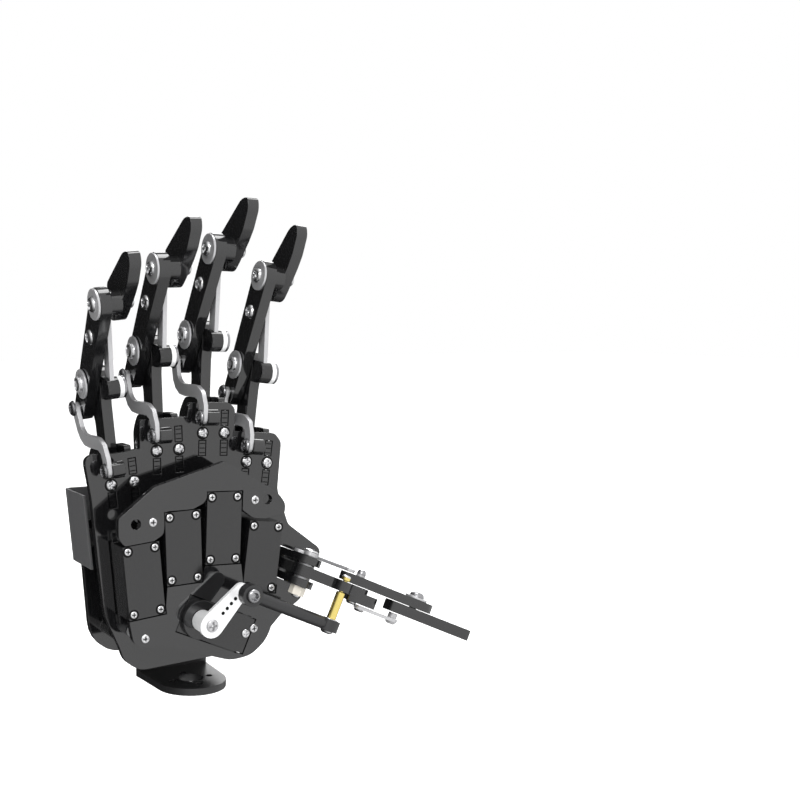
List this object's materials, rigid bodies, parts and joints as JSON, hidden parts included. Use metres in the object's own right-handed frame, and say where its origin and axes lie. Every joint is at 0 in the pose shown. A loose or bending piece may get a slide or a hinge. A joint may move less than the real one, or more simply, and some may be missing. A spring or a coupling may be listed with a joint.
{
  "type": "prosthetic hand",
  "caption": "Servo-driven mechanical hand: slotted palm plates, linked plate fingers, opposed thumb and a drilled wrist flange.",
  "frame": {"origin": "centre of the wrist hole on the flange's underside", "axes": "+Z along the hand towards the fingers, -Y is the palm's front, +X towards the thumb"},
  "size_m": [0.1504, 0.086, 0.2002],
  "materials": {
    "black_plate": "polished black",
    "servo_cover": "gloss black",
    "steel": "satin",
    "horn_white": "bright satin",
    "brass": "polished",
    "rod_black": "satin",
    "cover_gray": "matte",
    "flange_black": "satin"
  },
  "bodies": {
    "palm": {"back_plate": "black_plate", "front_plate_upper": "black_plate", "front_plate_lower": "black_plate", "wrist_flange": "flange_black", "back_cover": "cover_gray", "rear_plate": "black_plate", "finger_servo_1": "servo_cover", "finger_servo_2": "servo_cover", "finger_servo_3": "servo_cover", "finger_servo_4": "servo_cover", "thumb_servo": "servo_cover", "knuckle_bracket_1": "black_plate", "knuckle_bracket_2": "black_plate", "knuckle_bracket_3": "black_plate", "knuckle_bracket_4": "black_plate", "thumb_bracket": "black_plate", "thumb_bolt": "steel", "standoff_1": "steel", "standoff_2": "steel", "standoff_3": "steel"},
    "little_proximal": {"proximal_1": "black_plate", "pip_bolt_1": "steel"},
    "little_middle": {"middle_1": "black_plate"},
    "little_tip": {"fingertip_1": "black_plate"},
    "little_knuckle_link": {"knuckle_link_1": "steel"},
    "little_tip_link": {"tip_link_1": "steel"},
    "little_horn": {"servo_horn_1": "horn_white"},
    "little_rod": {"push_rod_1": "rod_black"},
    "ring_proximal": {"proximal_2": "black_plate", "pip_bolt_2": "steel"},
    "ring_middle": {"middle_2": "black_plate"},
    "ring_tip": {"fingertip_2": "black_plate"},
    "ring_knuckle_link": {"knuckle_link_2": "steel"},
    "ring_tip_link": {"tip_link_2": "steel"},
    "ring_horn": {"servo_horn_2": "horn_white"},
    "ring_rod": {"push_rod_2": "rod_black"},
    "middle_proximal": {"proximal_3": "black_plate", "pip_bolt_3": "steel"},
    "middle_middle": {"middle_3": "black_plate"},
    "middle_tip": {"fingertip_3": "black_plate"},
    "middle_knuckle_link": {"knuckle_link_3": "steel"},
    "middle_tip_link": {"tip_link_3": "steel"},
    "middle_horn": {"servo_horn_3": "horn_white"},
    "middle_rod": {"push_rod_3": "rod_black"},
    "index_proximal": {"proximal_4": "black_plate", "pip_bolt_4": "steel"},
    "index_middle": {"middle_4": "black_plate"},
    "index_tip": {"fingertip_4": "black_plate"},
    "index_knuckle_link": {"knuckle_link_4": "steel"},
    "index_tip_link": {"tip_link_4": "steel"},
    "index_horn": {"servo_horn_4": "horn_white"},
    "index_rod": {"push_rod_4": "rod_black"},
    "thumb_proximal": {"thumb_proximal": "black_plate", "thumb_post": "brass"},
    "thumb_middle": {"thumb_middle": "black_plate"},
    "thumb_tip": {"thumb_tip": "black_plate"},
    "thumb_knuckle_link": {"thumb_knuckle_link": "steel"},
    "thumb_tip_link": {"thumb_tip_link": "steel"},
    "thumb_horn": {"thumb_horn": "horn_white"},
    "thumb_rod": {"thumb_rod": "rod_black"}
  },
  "joints": [
    {"name": "little_knuckle", "type": "hinge", "parent": "palm", "child": "little_proximal", "pos_m": [-0.03435, 0.0055, 0.09039], "axis": [0.9945, 0, 0.1045], "range_deg": [-6, 30]},
    {"name": "little_middle_joint", "type": "hinge", "parent": "little_proximal", "child": "little_middle", "pos_m": [-0.03831, 0.0066, 0.12809], "axis": [0.9945, 0, 0.1045], "range_deg": [-8.9, 42.5]},
    {"name": "little_tip_joint", "type": "hinge", "parent": "little_middle", "child": "little_tip", "pos_m": [-0.04158, -0.01745, 0.15925], "axis": [0.9945, 0, 0.1045], "range_deg": [-8.9, 42.5]},
    {"name": "little_knuckle_link_pivot", "type": "hinge", "parent": "palm", "child": "little_knuckle_link", "pos_m": [-0.0349, -0.0152, 0.09566], "axis": [0.9945, 0, 0.1045], "range_deg": [-5, 23]},
    {"name": "little_tip_link_pivot", "type": "hinge", "parent": "little_proximal", "child": "little_tip_link", "pos_m": [-0.03809, -0.004, 0.126], "axis": [0.9945, 0, 0.1045], "range_deg": [-8.9, 42.5]},
    {"name": "little_horn_turn", "type": "hinge", "parent": "palm", "child": "little_horn", "pos_m": [-0.03105, 0.0079, 0.05932], "axis": [0, -1, 0], "range_deg": [-6.98, 32.9]},
    {"name": "little_rod_slide", "type": "slide", "parent": "palm", "child": "little_rod", "axis": [-0.1045, 0, 0.9945], "range_m": [-0.0016, 0.0055]},
    {"name": "ring_knuckle", "type": "hinge", "parent": "palm", "child": "ring_proximal", "pos_m": [-0.01485, 0.0055, 0.1026], "axis": [0.9995, 0, 0.0332], "range_deg": [-6, 30]},
    {"name": "ring_middle_joint", "type": "hinge", "parent": "ring_proximal", "child": "ring_middle", "pos_m": [-0.0161, 0.0066, 0.14048], "axis": [0.9995, 0, 0.0332], "range_deg": [-8.9, 42.5]},
    {"name": "ring_tip_joint", "type": "hinge", "parent": "ring_middle", "child": "ring_tip", "pos_m": [-0.01717, -0.01628, 0.17266], "axis": [0.9995, 0, 0.0332], "range_deg": [-8.9, 42.5]},
    {"name": "ring_knuckle_link_pivot", "type": "hinge", "parent": "palm", "child": "ring_knuckle_link", "pos_m": [-0.01502, -0.0152, 0.1079], "axis": [0.9995, 0, 0.0332], "range_deg": [-5, 23]},
    {"name": "ring_tip_link_pivot", "type": "hinge", "parent": "ring_proximal", "child": "ring_tip_link", "pos_m": [-0.01603, -0.004, 0.13838], "axis": [0.9995, 0, 0.0332], "range_deg": [-8.9, 42.5]},
    {"name": "ring_horn_turn", "type": "hinge", "parent": "palm", "child": "ring_horn", "pos_m": [-0.01382, 0.0079, 0.07105], "axis": [0, -1, 0], "range_deg": [-6.98, 32.9]},
    {"name": "ring_rod_slide", "type": "slide", "parent": "palm", "child": "ring_rod", "axis": [-0.0332, 0, 0.9995], "range_m": [-0.0016, 0.0055]},
    {"name": "middle_knuckle", "type": "hinge", "parent": "palm", "child": "middle_proximal", "pos_m": [0.00545, 0.0055, 0.1086], "axis": [0.9994, 0, -0.0349], "range_deg": [-6, 30]},
    {"name": "middle_middle_joint", "type": "hinge", "parent": "middle_proximal", "child": "middle_middle", "pos_m": [0.00677, 0.0066, 0.14648], "axis": [0.9994, 0, -0.0349], "range_deg": [-8.9, 42.5]},
    {"name": "middle_tip_joint", "type": "hinge", "parent": "middle_middle", "child": "middle_tip", "pos_m": [0.00796, -0.01345, 0.18049], "axis": [0.9994, 0, -0.0349], "range_deg": [-8.9, 42.5]},
    {"name": "middle_knuckle_link_pivot", "type": "hinge", "parent": "palm", "child": "middle_knuckle_link", "pos_m": [0.00563, -0.0152, 0.1139], "axis": [0.9994, 0, -0.0349], "range_deg": [-5, 23]},
    {"name": "middle_tip_link_pivot", "type": "hinge", "parent": "middle_proximal", "child": "middle_tip_link", "pos_m": [0.0067, -0.004, 0.14438], "axis": [0.9994, 0, -0.0349], "range_deg": [-8.9, 42.5]},
    {"name": "middle_horn_turn", "type": "hinge", "parent": "palm", "child": "middle_horn", "pos_m": [0.00412, 0.0079, 0.07745], "axis": [0, -1, 0], "range_deg": [-6.98, 32.9]},
    {"name": "middle_rod_slide", "type": "slide", "parent": "palm", "child": "middle_rod", "axis": [0.0349, 0, 0.9994], "range_m": [-0.0016, 0.0055]},
    {"name": "index_knuckle", "type": "hinge", "parent": "palm", "child": "index_proximal", "pos_m": [0.02536, 0.0055, 0.09559], "axis": [0.9936, 0, -0.1132], "range_deg": [-6, 30]},
    {"name": "index_middle_joint", "type": "hinge", "parent": "index_proximal", "child": "index_middle", "pos_m": [0.02965, 0.0066, 0.13325], "axis": [0.9936, 0, -0.1132], "range_deg": [-8.9, 42.5]},
    {"name": "index_tip_joint", "type": "hinge", "parent": "index_middle", "child": "index_tip", "pos_m": [0.03385, -0.00691, 0.17013], "axis": [0.9936, 0, -0.1132], "range_deg": [-8.9, 42.5]},
    {"name": "index_knuckle_link_pivot", "type": "hinge", "parent": "palm", "child": "index_knuckle_link", "pos_m": [0.02596, -0.0152, 0.10086], "axis": [0.9936, 0, -0.1132], "range_deg": [-5, 23]},
    {"name": "index_tip_link_pivot", "type": "hinge", "parent": "index_proximal", "child": "index_tip_link", "pos_m": [0.02941, -0.004, 0.13116], "axis": [0.9936, 0, -0.1132], "range_deg": [-8.9, 42.5]},
    {"name": "index_horn_turn", "type": "hinge", "parent": "palm", "child": "index_horn", "pos_m": [0.02236, 0.0079, 0.06415], "axis": [0, -1, 0], "range_deg": [-6.98, 32.9]},
    {"name": "index_rod_slide", "type": "slide", "parent": "palm", "child": "index_rod", "axis": [0.1132, 0, 0.9936], "range_m": [-0.0016, 0.0055]},
    {"name": "thumb_base", "type": "hinge", "parent": "palm", "child": "thumb_proximal", "pos_m": [0.03983, -0.0255, 0.05013], "axis": [-0.4067, 0, -0.9135], "range_deg": [-8, 24]},
    {"name": "thumb_middle_joint", "type": "hinge", "parent": "thumb_proximal", "child": "thumb_middle", "pos_m": [0.05828, -0.0366, 0.04411], "axis": [-0.4067, 0, -0.9135], "range_deg": [-11.7, 34.1]},
    {"name": "thumb_tip_joint", "type": "hinge", "parent": "thumb_middle", "child": "thumb_tip", "pos_m": [0.08258, -0.0417, 0.03329], "axis": [-0.4067, 0, -0.9135], "range_deg": [-10.1, 29.3]},
    {"name": "thumb_knuckle_link_pivot", "type": "hinge", "parent": "palm", "child": "thumb_knuckle_link", "pos_m": [0.0436, -0.0145, 0.05612], "axis": [-0.4067, 0, -0.9135], "range_deg": [-7.7, 22.1]},
    {"name": "thumb_tip_link_pivot", "type": "hinge", "parent": "thumb_proximal", "child": "thumb_tip_link", "pos_m": [0.05841, -0.0385, 0.0353], "axis": [-0.4067, 0, -0.9135], "range_deg": [-11.7, 34.1]},
    {"name": "thumb_horn_turn", "type": "hinge", "parent": "palm", "child": "thumb_horn", "pos_m": [-0.007, -0.0297, 0.0347], "axis": [0, -1, 0], "range_deg": [-7.7, 22.1]},
    {"name": "thumb_rod_slide", "type": "slide", "parent": "palm", "child": "thumb_rod", "axis": [-0.9135, 0, 0.4067], "range_m": [-0.0024, 0.0066]}
  ],
  "couplings": [
    {"joint": "little_middle_joint", "follows": "little_knuckle", "ratio": 1.4},
    {"joint": "little_tip_joint", "follows": "little_knuckle", "ratio": 1.4},
    {"joint": "little_knuckle_link_pivot", "follows": "little_knuckle", "ratio": 0.75},
    {"joint": "little_tip_link_pivot", "follows": "little_knuckle", "ratio": 1.4},
    {"joint": "little_horn_turn", "follows": "little_knuckle", "ratio": 1.08},
    {"joint": "little_rod_slide", "follows": "little_knuckle", "m_per_rad": 0.0098},
    {"joint": "ring_middle_joint", "follows": "ring_knuckle", "ratio": 1.4},
    {"joint": "ring_tip_joint", "follows": "ring_knuckle", "ratio": 1.4},
    {"joint": "ring_knuckle_link_pivot", "follows": "ring_knuckle", "ratio": 0.75},
    {"joint": "ring_tip_link_pivot", "follows": "ring_knuckle", "ratio": 1.4},
    {"joint": "ring_horn_turn", "follows": "ring_knuckle", "ratio": 1.08},
    {"joint": "ring_rod_slide", "follows": "ring_knuckle", "m_per_rad": 0.0098},
    {"joint": "middle_middle_joint", "follows": "middle_knuckle", "ratio": 1.4},
    {"joint": "middle_tip_joint", "follows": "middle_knuckle", "ratio": 1.4},
    {"joint": "middle_knuckle_link_pivot", "follows": "middle_knuckle", "ratio": 0.75},
    {"joint": "middle_tip_link_pivot", "follows": "middle_knuckle", "ratio": 1.4},
    {"joint": "middle_horn_turn", "follows": "middle_knuckle", "ratio": 1.08},
    {"joint": "middle_rod_slide", "follows": "middle_knuckle", "m_per_rad": 0.0098},
    {"joint": "index_middle_joint", "follows": "index_knuckle", "ratio": 1.4},
    {"joint": "index_tip_joint", "follows": "index_knuckle", "ratio": 1.4},
    {"joint": "index_knuckle_link_pivot", "follows": "index_knuckle", "ratio": 0.75},
    {"joint": "index_tip_link_pivot", "follows": "index_knuckle", "ratio": 1.4},
    {"joint": "index_horn_turn", "follows": "index_knuckle", "ratio": 1.08},
    {"joint": "index_rod_slide", "follows": "index_knuckle", "m_per_rad": 0.0098},
    {"joint": "thumb_middle_joint", "follows": "thumb_base", "ratio": 1.4},
    {"joint": "thumb_tip_joint", "follows": "thumb_base", "ratio": 1.2},
    {"joint": "thumb_knuckle_link_pivot", "follows": "thumb_base", "ratio": 0.9},
    {"joint": "thumb_tip_link_pivot", "follows": "thumb_base", "ratio": 1.4},
    {"joint": "thumb_horn_turn", "follows": "thumb_base", "ratio": 0.9},
    {"joint": "thumb_rod_slide", "follows": "thumb_base", "m_per_rad": 0.0151}
  ]
}
